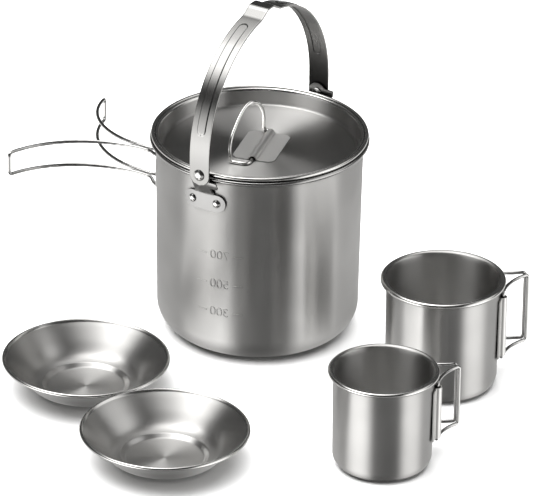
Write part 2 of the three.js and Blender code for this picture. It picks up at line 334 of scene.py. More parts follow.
def surface(name, kind, inputs):
    """A material of one shader, and the shader's node."""
    m = bpy.data.materials.new(name)
    m.use_nodes = True
    m.node_tree.nodes.clear()
    shader = node(m.node_tree, kind, inputs)
    node(m.node_tree, "OutputMaterial", {"Surface": shader.outputs[0]})
    return m, shader


WEAR = 0.12                   # how much the roughness varies from place to place


def steel(name, color, roughness, grain, grain_scale, bump, anisotropy=0.0, fade=None, crevice=4.0):
    """Stainless steel. With anisotropy it is spun round Z and its grain lies in rings. Without, it is straight.

    grain_scale is the grain's fineness along each axis, or round the rings and across them.
    Corners are darker, as far as crevice reaches, in millimetres: this is painted shade from an ambient occlusion
    node.
    fade is (low z, high z, share left at low z) in millimetres, for painted shade that clears with height.
    """
    m, shader = surface(name, "BsdfPrincipled", {"Metallic": 1.0, "Anisotropic": anisotropy})
    tree = m.node_tree
    coords = node(tree, "TexCoord").outputs["Object"]
    x, y, z = node(tree, "SeparateXYZ", {0: coords}).outputs
    if anisotropy:
        tangent = node(tree, "Tangent", direction_type="RADIAL", axis="Z")
        tree.links.new(tangent.outputs["Tangent"], shader.inputs["Tangent"])
        shader.inputs["Anisotropic Rotation"].default_value = 0.25
        flat = node(tree, "CombineXYZ", {"X": x, "Y": y}).outputs[0]
        length = node(tree, "VectorMath", {0: flat}, operation="LENGTH").outputs["Value"]
        unit = node(tree, "VectorMath", {0: flat}, operation="NORMALIZE").outputs[0]
        around = node(tree, "VectorMath", {0: unit, "Scale": grain_scale[0]}, operation="SCALE").outputs[0]
        across = combined(tree, "MULTIPLY", combined(tree, "ADD", length, z), grain_scale[1])
        rise = node(tree, "CombineXYZ", {"Z": across}).outputs[0]
        spot = node(tree, "VectorMath", {0: around, 1: rise}, operation="ADD").outputs[0]
    else:
        spot = node(tree, "Mapping", {"Vector": coords, "Scale": grain_scale}).outputs[0]
    fine = {"Vector": spot, "Scale": 1.0, "Detail": 3.0, "Roughness": 0.7}
    noise = node(tree, "TexNoise", fine).outputs["Fac"]
    blotch = node(tree, "TexNoise", {"Vector": coords, "Scale": 22.0, "Detail": 4.0}).outputs["Fac"]
    streak = ranged(tree, noise, 0.3, 0.7, 1 - grain, 1 + grain)
    cloud = ranged(tree, blotch, 0.3, 0.7, roughness * (1 - WEAR), roughness * (1 + WEAR))
    tree.links.new(combined(tree, "MULTIPLY", streak, cloud), shader.inputs["Roughness"])
    dark = [c * (1 - 0.22 * grain) for c in color] + [1]
    light = [min(1.0, c * (1 + 0.12 * grain)) for c in color] + [1]
    mixed = {"Factor": ranged(tree, noise, 0.25, 0.75, 0.0, 1.0), "A": dark, "B": light}
    tint = node(tree, "Mix", mixed, data_type="RGBA").outputs["Result"]
    # Painted shade: the base colour is darkened where ambient occlusion finds other surfaces close by.
    shade = node(tree, "AmbientOcclusion", {"Distance": crevice * MM}, samples=8)
    painted_shade = ranged(tree, shade.outputs["AO"], 0.3, 0.85, 0.18, 1.0)
    # Painted shade: when fade is given, the base colour darkens towards low z.
    if fade:
        low, high, left = fade
        painted_shade = combined(tree, "MULTIPLY", painted_shade, ranged(tree, z, low * MM, high * MM, left, 1.0))
    darker = node(tree, "VectorMath", {0: tint, "Scale": painted_shade}, operation="SCALE").outputs[0]
    tree.links.new(darker, shader.inputs["Base Color"])
    relief = {"Strength": 1.0, "Distance": bump * MM, "Height": noise}
    tree.links.new(node(tree, "Bump", relief).outputs["Normal"], shader.inputs["Normal"])
    return m


GREY = (0.60, 0.595, 0.585)
EVEN = (1500, 1500, 1500)
wall_steel = steel("satin_wall", GREY, 0.38, grain=0.05, grain_scale=(1.5, 5200), bump=0.0004, anisotropy=0.98)
lid_steel = steel("satin_lid", GREY, 0.36, grain=0.06, grain_scale=(1.5, 4200), bump=0.0004, anisotropy=0.98)
bowl_steel = steel("satin_bowl", GREY, 0.34, grain=0.06, grain_scale=(1.5, 4200), bump=0.0004, anisotropy=0.8)
bead_steel = steel("polished_bead", (0.74, 0.735, 0.72), 0.17, grain=0.05, grain_scale=EVEN, bump=0.0002)
rim_steel = steel("pot_rim", (0.46, 0.457, 0.45), 0.24, grain=0.05, grain_scale=EVEN, bump=0.0002)
# Painted shade on the bail: its colour darkens towards the ends by the pivots, and on the inside faces almost to
# black.
bail_steel = steel("brushed_bail", (0.37, 0.367, 0.36), 0.22, grain=0.12, grain_scale=(300, 2600, 300),
                   bump=0.0006, fade=(4, 24, 0.72))
bail_inner_steel = steel("brushed_bail_inside", (0.42, 0.417, 0.41), 0.30, grain=0.08,
                         grain_scale=(300, 2600, 300), bump=0.0004, fade=(4, 70, 0.07))
ear_steel = steel("brushed_ear", (0.33, 0.328, 0.325), 0.32, grain=0.06, grain_scale=(2500, 2500, 80),
                  bump=0.0004)
sheet_steel = steel("brushed_sheet", (0.78, 0.775, 0.76), 0.42, grain=0.06, grain_scale=(2500, 2500, 80),
                    bump=0.0004, crevice=1.2)
plate_steel = steel("brushed_plate", (0.92, 0.915, 0.90), 0.42, grain=0.05, grain_scale=(80, 2500, 2500),
                    bump=0.0002)
wire_steel = steel("drawn_wire", (0.60, 0.597, 0.59), 0.12, grain=0.1, grain_scale=EVEN, bump=0.0003)
ring_steel = steel("lid_ring_wire", (0.95, 0.945, 0.93), 0.16, grain=0.1, grain_scale=EVEN, bump=0.0003,
                   crevice=1.0)
rivet_steel = steel("rivet_steel", (0.80, 0.795, 0.785), 0.15, grain=0.1, grain_scale=EVEN, bump=0.0004)


# ---------------------------------------------------------------- turned vessels

POT = dict(r=58.5, base_r=57.2, height=115.9, corner=16.0, bead_r=60.5, bead=1.4)
LARGE_MUG = dict(name="large_mug", x=103.4, y=-70.2, r=31.8, base_r=31.3, height=63.8, corner=7.0, bead_r=33.6,
                 bead=1.4, sleeve=(18.0, 54.5), loop=(16.0, 57.0), reach=52.3)
SMALL_MUG = dict(name="small_mug", x=69.6, y=-166.4, r=27.8, base_r=27.3, height=56.5, corner=7.0, bead_r=29.35,
                 bead=1.25, sleeve=(17.0, 48.0), loop=(15.2, 50.5), reach=45.3)
LID = dict(bead_r=60.1, bead_z=118.75, bead=1.15, lip_r=56.9, lip_z=117.2)
BOWL = dict(rim_r=45.8, rim_z=18.4, bead=1.1)
BOWLS = dict(left_bowl=(-95.0, -84.5), front_bowl=(-49.3, -166.5))
WALL = 0.8
WALL_TOP = 112.0              # of the pot's straight wall
SIDES = dict(pot=224, mug=160, bowl=192)
# first is the azimuth where the numbers start, and ticks are the azimuths of the two lines beside them.
MARKS = dict(levels=(("700", 68.3), ("500", 50.2), ("300", 32.5)), first=-106.6, height=4.6, pitch=4.0,
             radius=58.2, line=0.3, tick_line=0.32, proud=0.08, ticks=((-125.6, -119.6), (-104.0, -98.2)))


def vessel(r, base_r, height, corner, bead_r, bead, **_):
    """Profile of a straight vessel: rounded corner, wall, and a rolled bead that curls back towards the wall."""
    inside = base_r - corner
    foot = inside + 1.5
    under = height - bead
    profile = [(0, 0.35), (foot - 3.2, 0.35), (foot - 2.2, 0.22), (foot - 1.4, 0.05), (foot - 0.6, 0.0)]
    profile += [p for p in arc(inside, corner, corner, -90, 0, 28) if p[0] > foot]
    profile += [(r - 0.06, under - 4.0)]
    profile += spline([(r, under - 2.2), (r + 0.12, under - 0.7), (bead_r - 0.93 * bead, under + 0.35)], 4)
    profile += arc(bead_r, height, bead, -140, 92, 22)
    profile += spline([(bead_r - 0.6 * bead, height + 0.9 * bead), (r - 0.35, height + 0.45 * bead),
                       (r - WALL, height - 1.2 * bead), (r - WALL, under - 3.5)], 6)[1:]
    profile += arc(inside, corner, corner - WALL, 0, -90, 28)
    profile += [(0, WALL)]
    return profile


def lid_profile():
    """A shallow pan with a step at its foot, a rounded lip, and a rolled bead outside it."""
    top = [(0, 110.45), (30, 110.35), (50, 110.1), (53.6, 110.0)]
    top += spline([(54.2, 110.0), (54.7, 110.25), (55.1, 110.6), (55.45, 111.4), (55.75, 113.0)], 5)
    top += [(56.6, 117.0)]
    top += spline([(56.8, 117.9), (57.25, 118.85), (57.9, 119.3), (58.5, 119.25), (58.95, 118.95)], 6)
    bead = arc(LID["bead_r"], LID["bead_z"], LID["bead"], 165, -100, 26)
    under = [(59.4, 117.75), (58.8, 118.05), (58.2, 118.1), (57.6, 117.5), (57.25, 116.4), (56.1, 110.6),
             (55.4, 109.6), (54.8, 109.32), (54.0, 109.3), (0, 109.3)]
    return top + bead + under


def bowl_profile():
    """A flared wall over a rounded knuckle and a small pressed foot, with a bead at the rim."""
    outside = [(0, 0.15), (20.4, 0.15), (21.1, 0.0), (21.8, 0.08)]
    outside += spline([(22.3, 0.5), (23.2, 1.6), (24.2, 2.3), (25.6, 2.45), (28.4, 3.0), (31.8, 5.0), (37.0, 10.3),
                       (45.2, 17.0)], 6)
    bead = arc(BOWL["rim_r"], BOWL["rim_z"], BOWL["bead"], -120, 118, 18)
    inside = spline([(44.6, 18.2), (41.8, 15.9), (36.3, 10.9), (31.2, 5.8), (28.2, 3.95), (25.9, 3.3), (25.0, 3.2),
                     (24.2, 3.0), (22.9, 2.0), (21.7, 1.15), (20.2, 0.95)], 6)
    return outside + bead + inside + [(0, 0.95)]


def stroke(points, wall, thick):
    """A raised line on the pot's wall, through (angle in degrees, z) points."""
    path = [polar(wall(z), a, z) for a, z in points]
    middle = polar(1, points[len(points) // 2][0])
    return sweep(resample(path, 0.25), thick, 8, squash=(middle, 0.6))


DIGITS = {
    "0": [spline([(0.0, 0.5), (0.02, 0.78), (0.14, 0.96), (0.3, 1.0), (0.46, 0.96), (0.58, 0.78), (0.6, 0.5),
                  (0.58, 0.22), (0.46, 0.04), (0.3, 0.0), (0.14, 0.04), (0.02, 0.22), (0.0, 0.5)], 3)],
    "7": [[(0.0, 1.0), (0.58, 1.0), (0.2, 0.0)]],
    "5": [[(0.54, 1.0), (0.08, 1.0), (0.05, 0.56)],
          spline([(0.05, 0.56), (0.3, 0.64), (0.55, 0.48), (0.56, 0.2), (0.3, 0.0), (0.03, 0.1)], 4)],
    "3": [spline([(0.05, 0.9), (0.28, 1.0), (0.52, 0.88), (0.5, 0.64), (0.26, 0.53)], 4),
          spline([(0.26, 0.53), (0.54, 0.42), (0.57, 0.14), (0.3, 0.0), (0.03, 0.1)], 4)],
}


def graduations():
    """The volume marks, pressed from inside so that they read from inside the pot."""
    taper = (POT["r"] - POT["base_r"]) / (WALL_TOP - POT["corner"])
    height = MARKS["height"]
    wide, pitch = math.degrees(height / MARKS["radius"]), math.degrees(MARKS["pitch"] / POT["r"])

    def wall(z):
        return POT["base_r"] + taper * (z - POT["corner"]) + MARKS["proud"]

    parts = []
    for text, z in MARKS["levels"]:
        for k, digit in enumerate(text):
            start = MARKS["first"] - k * pitch
            for line in DIGITS[digit]:
                points = [(start - x * wide, z - height / 2 + y * height) for x, y in line]
                parts.append(stroke(points, wall, MARKS["line"]))
        for a0, a1 in MARKS["ticks"]:
            points = [(a, z) for a in np.linspace(a0, a1, 7)]
            parts.append(stroke(points, wall, MARKS["tick_line"]))
    return merge(parts)


def build_vessels():
    shell = merge([lathe(vessel(**POT), SIDES["pot"]), graduations()])
    pot = new_object("pot_shell", *shell, wall_steel, sharp=50)
    repaint(pot, rim_steel, beyond(POT["r"] + 0.3, POT["height"] - 1.5))
    settle(pot, "pot", ["pot_body"])
    lid = new_object("lid_shell", *lathe(lid_profile(), SIDES["pot"]), lid_steel, sharp=50)
    repaint(lid, bead_steel, beyond(LID["lip_r"], LID["lip_z"]))
    settle(lid, "lid", ["lid_pan"])
    for mug in (LARGE_MUG, SMALL_MUG):
        shell = lathe(vessel(**mug), SIDES["mug"])
        piece = new_object(mug["name"] + "_shell", *shell, wall_steel, placed(mug["x"], mug["y"]), sharp=50)
        repaint(piece, bead_steel, beyond(mug["r"] + 0.2, mug["height"] - 1.6))
        settle(piece, mug["name"], [mug["name"] + "_body"])
    for name, (x, y) in BOWLS.items():
        shell = lathe(bowl_profile(), SIDES["bowl"])
        piece = new_object(name + "_shell", *shell, bowl_steel, placed(x, y), sharp=50)
        repaint(piece, bead_steel, beyond(BOWL["rim_r"] - BOWL["bead"], BOWL["rim_z"] - BOWL["bead"]))
        settle(piece, name, [name])


# ---------------------------------------------------------------- bail, ears and rivets

BAIL = dict(azimuth=59.4, pivot=119.2, r=64.9, leg=10.2, half=6.25, thick=1.2, rise=3.2, step=10.0,
            step_top=3.2, edge=0.25)
# The raised strip on each side of the top, from above the bail's end to below the step.
RIB = dict(start=24.0, end=18.5, half=2.5, rise=0.45, edge=0.55)


def bail_path():
    """The bail's middle line in (x, z), from below one pivot over the top to below the other, in equal steps."""
    r, leg, half, step = BAIL["r"], BAIL["leg"], BAIL["half"], BAIL["step"]
    top = leg + r + BAIL["rise"]
    stop = math.degrees(math.acos(step / r))
    side = [(r, -half), (r, 0)] + arc(0, leg, r, 0, stop - 2, 60)
    bump = [(step, leg + math.sqrt(r * r - step * step)), (4.5, top - 1.0), (BAIL["step_top"], top), (0, top)]
    path = rounded(side + bump, [0] * (len(side) - 1) + [1.6, 1.3, 1.0], 6)
    mirrored = [(-x, z) for x, z in path[-2::-1]]
    return resample([tuple(q) for q in path] + mirrored, 0.6)


def bail_mesh():
    """The flat band, with rounded edges, round ends and the pressed ribs."""
    path = bail_path()
    n = len(path)
    tangent = np.gradient(path, axis=0)
    tangent /= np.linalg.norm(tangent, axis=1)[:, None]
    normal = np.stack([tangent[:, 1], -tangent[:, 0]], axis=1)
    length = distances(path)
    total = length[-1]
    half, thick, edge = BAIL["half"], BAIL["thick"], BAIL["edge"]
    across = np.concatenate([[-1, -0.985, -0.94], np.linspace(-0.86, -0.52, 5), np.linspace(-0.48, -0.3, 7),
                             np.linspace(-0.24, 0.24, 7), np.linspace(0.3, 0.48, 7), np.linspace(0.52, 0.86, 5),
                             [0.94, 0.985, 1]])

    def rib(s, w):
        """Raised strip with round ends, on both sides of the top."""
        s = min(s, total - s)
        a, b = RIB["start"] + half + RIB["half"], total / 2 - RIB["end"] - RIB["half"]
        d = math.hypot(s - min(max(s, a), b), w)
        t = min(1.0, max(0.0, (RIB["half"] - d) / RIB["edge"] + 0.5))
        return RIB["rise"] * t * t * (3 - 2 * t)

    outer, inner = [], []
    for i in range(n):
        s = length[i]
        off = half - min(s, total - s)
        width = half if off <= 0 else math.sqrt(max(half * half - off * off, 0.02))
        row_out, row_in = [], []
        for u in across:
            w = u * width
            inset = max(0.0, abs(u) * width - (width - edge)) / edge
            drop = edge * (1 - math.sqrt(max(0.0, 1 - inset * inset)))
            lift = rib(s, w)
            c = path[i]
            po = c + normal[i] * (thick / 2 - drop + lift)
            pi = c + normal[i] * (-thick / 2 + drop + lift)
            row_out.append((po[0], w, po[1]))
            row_in.append((pi[0], w, pi[1]))
        outer.append(row_out)
        inner.append(row_in)
    m = len(across)
    verts = [v for row in outer for v in row] + [v for row in inner for v in row]
    base = n * m
    faces = []
    for i in range(n - 1):
        for k in range(m - 1):
            a, b = i * m + k, (i + 1) * m + k
            faces.append((a, a + 1, b + 1, b))
            faces.append((base + a, base + b, base + b + 1, base + a + 1))
        for k in (0, m - 1):
            a, b = i * m + k, (i + 1) * m + k
            faces.append((a, b, base + b, base + a))
    for i in (0, n - 1):
        for k in range(m - 1):
            a = i * m + k
            faces.append((a, base + a, base + a + 1, a + 1))
    return verts, faces


EAR = dict(neck=5.35, thick=1.1, inner=58.8, out=63.45, foot=100.9, foot_len=26.0, foot_h=10.2, span=15.2,
           lug=5.0, lug_h=4.2, fillet=2.2, lug_round=1.3)
EARS = (("front", -1, 6.0), ("back", 1, -0.4))      # name, side, and how far the lug is below the pivot
PIVOT_RIVET = dict(head=3.2, dome=1.3, shank=1.9, back=2.7)
FOOT_RIVET = dict(head=2.3, dome=1.05, shank=1.4, back=0)
HEAD_GAP = 0.25               # under a rivet's head


def ear_spine():
    """The ear's middle line in (radius, z): up the wall, out past the beads and up to its round top."""
    near = EAR["inner"] + EAR["thick"] / 2
    z0 = EAR["foot"] - EAR["foot_h"] / 2
    corners = [(near, z0), (near, EAR["foot"] + 5.5), (EAR["out"], EAR["foot"] + 12.8),
               (EAR["out"], BAIL["pivot"] + EAR["neck"])]
    return resample(rounded(corners, [1.6, 1.6], 8), 0.2)


def ear_mesh(lug_side, lug_drop):
    """One pressed plate: a rounded foot that hugs the wall, a neck, and a round top with the pivot hole."""
    spine = ear_spine()
    length = distances(spine)
    total = length[-1]
    neck, foot_h, foot_half = EAR["neck"], EAR["foot_h"], EAR["foot_len"] / 2
    cap = foot_h / 2
    fillet, tip = EAR["fillet"], EAR["lug_round"]
    pivot_s = total - neck
    lug_s = pivot_s - lug_drop
    lug_top, lug_low = lug_s + EAR["lug_h"] / 2, lug_s - EAR["lug_h"] / 2
    side = [(w, s) for w, s in arc(foot_half - cap, cap, cap, -90, 90, 16)]
    side += [(neck + fillet, foot_h)] + arc(neck + fillet, foot_h + fillet, fillet, -90, -180, 8)[1:]
    plain = list(side) + arc(0, pivot_s, neck, 0, 90, 14)
    reach = neck + EAR["lug"]
    over = lug_top - pivot_s
    cut = math.degrees(math.asin(max(-1.0, min(1.0, over / neck))))
    lugged = list(side) + [(neck, lug_low - 0.4), (neck + 0.4, lug_low), (reach - tip, lug_low)]
    lugged += arc(reach - tip, lug_low + tip, tip, -90, 0, 6)[1:] + arc(reach - tip, lug_top - tip, tip, 0, 90, 6)
    lugged += [(neck + 0.4, lug_top)]
    if over < 0:
        lugged += [(neck, lug_top + 0.4)] + arc(0, pivot_s, neck, 0, 90, 14)
    else:
        lugged += arc(0, pivot_s, neck, max(cut, 5) + 6, 90, 12)
    right, left = (lugged, plain) if lug_side > 0 else (plain, lugged)
    outline = [(s, w) for w, s in right] + [(s, -w) for w, s in reversed(left)]
    outline = [p for i, p in enumerate(outline) if math.dist(p, outline[i - 1]) > 0.02]

    def ring(s, w, r, n=24):
        return [(s + r * math.cos(t), w + r * math.sin(t)) for t in np.arange(n) * 2 * math.pi / n]

    hole_w = EAR["span"] / 2
    holes = [ring(pivot_s, 0, 2.2, 28), ring(cap, hole_w, 1.7), ring(cap, -hole_w, 1.7)]
    near = EAR["inner"] + EAR["thick"] / 2

    def bend(s, w):
        r, z = at(spine, length, s)
        ahead = at(spine, length, s + 0.15) - at(spine, length, s - 0.15)
        ahead /= np.linalg.norm(ahead)
        curved = min(1.0, max(0.0, (EAR["out"] - r) / (EAR["out"] - near)))
        a = w / near * curved
        flat_w = w * (1 - curved)
        x, y = r * math.cos(a), r * math.sin(a) + flat_w
        normal = np.array([ahead[1] * math.cos(a), ahead[1] * math.sin(a), -ahead[0]])
        return np.array([x, y, z]), normal / np.linalg.norm(normal)

    return sheet_solid(outline, holes, bend, EAR["thick"], (0.9, 1.3))


def rivet_profile(start, hold, end, head, dome, shank, back):
    """Inner head, shank and domed outer head, from (radius, distance) points along the rivet."""
    profile = [(0, start)]
    if back > shank:
        profile += [(back - 0.15, start), (back, start + 0.12), (back, hold)]
    profile += [(shank, hold if back > shank else start), (shank, end), (head - 0.25, end), (head, end + 0.18)]
    ball = (head * head + dome * dome) / (2 * dome)
    sweep_angle = math.asin(min(1.0, head / ball))
    for k in range(1, 12):
        a = sweep_angle * (1 - k / 12)
        profile.append((ball * math.sin(a), end + 0.18 + ball * math.cos(a) - (ball - dome) - 0.18 * (k / 12)))
    profile.append((0, end + dome))
    return profile


def along_x(mesh):
    """Turns a lathed mesh so that its axis points along +X."""
    verts, faces = mesh
    return [(z, y, -x) for x, y, z in verts], faces


def build_bail():
    def inside(face):
        """Whether a face of the band looks in towards the middle of its arch."""
        outward = Vector((face.center.x, 0, max(0.0, face.center.z - BAIL["leg"] * MM)))
        return face.normal.dot(outward) < 0

    pivot = BAIL["pivot"]
    band = new_object("bail_strip", *bail_mesh(), bail_steel, placed(0, 0, pivot, BAIL["azimuth"]), sharp=35)
    repaint(band, bail_inner_steel, inside)
    settle(band, "bail", ["bail_band"])
    for name, side, drop in EARS:
        turn = BAIL["azimuth"] + (180 if side < 0 else 0)
        ear = new_object(name + "_ear_plate", *ear_mesh(-side, drop), ear_steel, placed(0, 0, 0, turn), sharp=35)
        soften(ear, 0.22)
        settle(ear, "pot", [name + "_ear"])
        inner = EAR["out"] - EAR["thick"] / 2 - GAP
        outer = BAIL["r"] + BAIL["thick"] / 2 + HEAD_GAP
        pin = along_x(lathe(rivet_profile(inner - GAP, inner, outer, **PIVOT_RIVET), 48))
        piece = new_object(name + "_pivot_rivet_head", *pin, rivet_steel, placed(0, 0, pivot, turn))
        settle(piece, "pot", [name + "_pivot_rivet"])
        wall = EAR["inner"]
        foot = along_x(lathe(rivet_profile(wall, wall, wall + EAR["thick"] + HEAD_GAP, **FOOT_RIVET), 40))
        for hand, sign in (("left", -1), ("right", 1)):
            place = placed(0, 0, EAR["foot"], turn + math.degrees(sign * EAR["span"] / 2 / POT["r"]))
            piece = new_object(f"{name}_ear_rivet_head_{hand}", *foot, rivet_steel, place)
            settle(piece, "pot", [f"{name}_ear_rivet_{hand}"])


# ---------------------------------------------------------------- lid bracket and ring

BRACKET = dict(azimuth=73.8, x=1.0, y=-1.0, length=36.4, width=24.6, channel=2.2, thick=0.7, rise=0.3,
               corner=2.6, corner_round=3.2)
WELD = dict(r=1.3, depth=0.16, from_end=6.5, from_side=5.2)
LID_TOP = 110.0
WIRE = 1.0


def bracket_mesh():
    """A plate with clipped corners, pressed up into a half-round channel along its middle."""
    half, wide, corner = BRACKET["length"] / 2, BRACKET["width"] / 2, BRACKET["corner"]
    thick, r, rise = BRACKET["thick"], BRACKET["channel"], BRACKET["rise"]
    z = LID_TOP + GAP + thick / 2
    # Half of the section in (across, up): over the channel and down to the plate.
    section = [(0, z + rise + r)] + [(r * math.cos(a), z + rise + r * math.sin(a)) for a in
                                     np.radians(np.linspace(88, 12, 20))]
    section += [(r + 0.12, z + 0.25), (r + 0.45, z + 0.05), (r + 0.9, z), (wide + 3, z)]
    section = resample(section, 0.1)
    length = distances(section)
    edge = float(np.interp(wide, section[:, 0], length))

    def bend(s, w):
        t = abs(w)
        y, up = at(section, length, t)
        dy, dz = at(section, length, t + 0.1) - at(section, length, max(t - 0.1, 0))
        if t < 0.05:
            dz = 0.0
        normal = np.array([0, -dz, dy])
        sign = 1 if w >= 0 else -1
        normal[1] *= sign
        return np.array([s, sign * y, up]), normal / np.linalg.norm(normal)

    def dimples(s, w):
        """Small dents of the spot welds."""
        t = abs(w) - (edge - WELD["from_side"])
        out = 0.0
        for place in (WELD["from_end"] - half, half - WELD["from_end"]):
            d = math.hypot(s - place, t)
            if d < WELD["r"]:
                out -= WELD["depth"] * (0.5 + 0.5 * math.cos(math.pi * d / WELD["r"]))
        return out

    raw = [(half, -edge + corner), (half, edge - corner), (half - corner, edge), (-half + corner, edge),
           (-half, edge - corner), (-half, -edge + corner), (-half + corner, -edge), (half - corner, -edge)]
    loop = rounded([raw[-1]] + raw + [raw[0]], BRACKET["corner_round"], 6)
    outline = [tuple(q) for q in loop[1:-1]]
    return sheet_solid(outline, [], bend, thick, (1.2, 0.45), relief=dimples)


def lid_ring_path():
    """Through the channel, round the feet on the lid and over an egg-shaped loop that leans."""
    loop = spline([(-24.9, 10.9, 2.6), (-23.6, 11.6, 7.2), (-20.6, 11.6, 12.5), (-15.3, 10.8, 17.5),
                   (-9.1, 9.7, 22.0), (-3.6, 8.2, 25.0), (1.0, 5.8, 25.7), (6.0, 3.8, 22.6), (11.5, 2.9, 16.0),
                   (14.8, 3.3, 10.0), (17.0, 4.0, 4.0)], 8)
    path = [(-0.6, 0, 0), (-25.5, 0, 0), (-24.9, 10.9, 0)] + loop + [(19.7, 3.9, 0), (19.7, 0, 0), (0.6, 0, 0)]
    path = rounded(path, [3.6, 3.0] + [0] * len(loop) + [1.5, 1.5], 10)
    return resample(path, 0.5)


def build_lid_fittings():
    place = placed(BRACKET["x"], BRACKET["y"], 0, BRACKET["azimuth"])
    plate = new_object("lid_bracket_plate", *bracket_mesh(), plate_steel, place, sharp=35)
    soften(plate, 0.18)
    settle(plate, "lid", ["lid_bracket"])
    height = LID_TOP + GAP + WIRE
    place = placed(BRACKET["x"], BRACKET["y"], height, BRACKET["azimuth"])
    ring = new_object("lid_ring_wire", *sweep(lid_ring_path(), WIRE, 18), ring_steel, place)
    settle(ring, "lid_ring", ["lid_ring"])


# ---------------------------------------------------------------- sleeves and wire handles

POT_HANDLE = dict(azimuth=149.4, span=8.5, hinge=60.7, mid=81.5, hinge_h=9.8, meet=76.0, meet_gap=1.5, meet_h=8.0,
                  tip_h=6.8, tip_rise=3.3, arc=60.0, sweep=80.0, sleeve=16.0, wing=5.0)
MUG_HANDLE = dict(azimuth=25.5, hinge=28.0, meet_gap=1.6, wing=4.5)
SLEEVE = dict(outer=2.5, inner=1.6, sheet=0.8, corner=1.2)
PIN_GAP = 0.1                 # between a mug's sleeve and its hinge pin


def sleeve_mesh(wall_r, hinges, hinge_r, wing, z0, z1):
    """Sheet that hugs a wall, with a half-round channel over each hinge pin. Angles are in degrees."""
    thick = SLEEVE["outer"] - SLEEVE["inner"]
    middle = wall_r + GAP + SLEEVE["sheet"] / 2
    r = SLEEVE["outer"] - thick / 2
    plan = []
    start, end = min(hinges) - wing, max(hinges) + wing
    angle = start
    reach = math.degrees((r + 0.7) / middle)
    for hinge in sorted(hinges):
        plan += [tuple(polar(middle, a)[:2]) for a in np.linspace(angle, hinge - reach, 8)]
        # Up beside the pin, over it in a half circle, and down again.
        u, v = polar(1, hinge)[:2], polar(1, hinge + 90)[:2]
        over = [(hinge_r + r * math.cos(t), r * math.sin(t)) for t in np.radians(np.linspace(-90, 90, 21))]
        over = [(middle + 0.35, -r)] + over + [(middle + 0.35, r)]
        plan += [tuple(u * x + v * y) for x, y in over]
        angle = hinge + reach
    plan += [tuple(polar(middle, a)[:2]) for a in np.linspace(angle, end, 8)]
    line = resample(rounded(plan, 0.5, 3), 0.15)
    length = distances(line)
    total = length[-1]

    def bend(s, w):
        x, y = at(line, length, w)
        dx, dy = at(line, length, w + 0.15) - at(line, length, w - 0.15)
        normal = np.array([dy, -dx, 0])
        return np.array([x, y, s]), normal / np.linalg.norm(normal)

    outline = rounded([(z0, total / 2), (z0, 0.001), (z1, 0.001), (z1, total - 0.001), (z0, total - 0.001),
                       (z0, total / 2)], SLEEVE["corner"], 5)[1:-1]
    return sheet_solid([tuple(q) for q in outline], [], bend, SLEEVE["sheet"], (3.0, 0.35))


def loop_path(plan, corner, tip):
    """A wire loop in a plan of (x, y, top, bottom) rows. It starts and ends inside its sleeve."""
    x, y, top, bottom = plan[0]
    middle = (top + bottom) / 2
    points = [(x, y, middle + 0.6), (x, y, top)]
    radii = [1.2]
    points += [(px, py, upper) for px, py, upper, _ in plan[1:]]
    radii += [corner] * (len(plan) - 2) + [tip]
    points += [(px, py, lower) for px, py, _, lower in reversed(plan[1:])]
    radii += [tip] + [corner] * (len(plan) - 2)
    points += [(x, y, bottom), (x, y, middle - 0.6)]
    radii += [1.2]
    return resample(rounded(points, radii, 8), 0.6)


def pot_handle_plan(side):
    """The wires leave the hinges, come together, and swing apart along an arc."""
    h = POT_HANDLE
    mid, half = h["mid"], h["hinge_h"]
    plan = [(h["hinge"], side * h["span"], mid + half, mid - half)]
    half -= 0.8
    plan.append((h["hinge"] + 6.5, side * (h["meet_gap"] + 3.6), mid + half, mid - half))
    count = 16
    for i in range(count + 1):
        a = math.radians(-5 + (h["sweep"] + 5) * i / count)
        z = h["meet_h"] + (h["tip_h"] - h["meet_h"]) * i / count
        away = h["arc"] * (1 - math.cos(a))
        centre = mid + side * h["tip_rise"] * (i / count) ** 2
        plan.append((h["meet"] + h["arc"] * math.sin(a), side * (h["meet_gap"] + away), centre + z, centre - z))
    return plan


def mug_loop_plan(mug, side):
    """A shallow curve from the hinge to the tip, so that the loop can fold round the mug."""
    start = polar(mug["r"] + SLEEVE["inner"] + PIN_GAP, MUG_HANDLE["hinge"])
    end = np.array([mug["reach"], MUG_HANDLE["meet_gap"], 0])
    chord = np.linalg.norm(end - start)
    curve_r = mug["r"] + 1.5
    bow = curve_r - math.sqrt(curve_r**2 - (chord / 2) ** 2)
    inward = np.array([start[1] - end[1], end[0] - start[0], 0])
    inward *= -bow / np.linalg.norm(inward)
    plan = []
    for t in np.linspace(0, 1, 9):
        p = start + (end - start) * t + inward * 4 * t * (1 - t)
        plan.append((p[0], side * p[1], mug["loop"][1], mug["loop"][0]))
    return plan


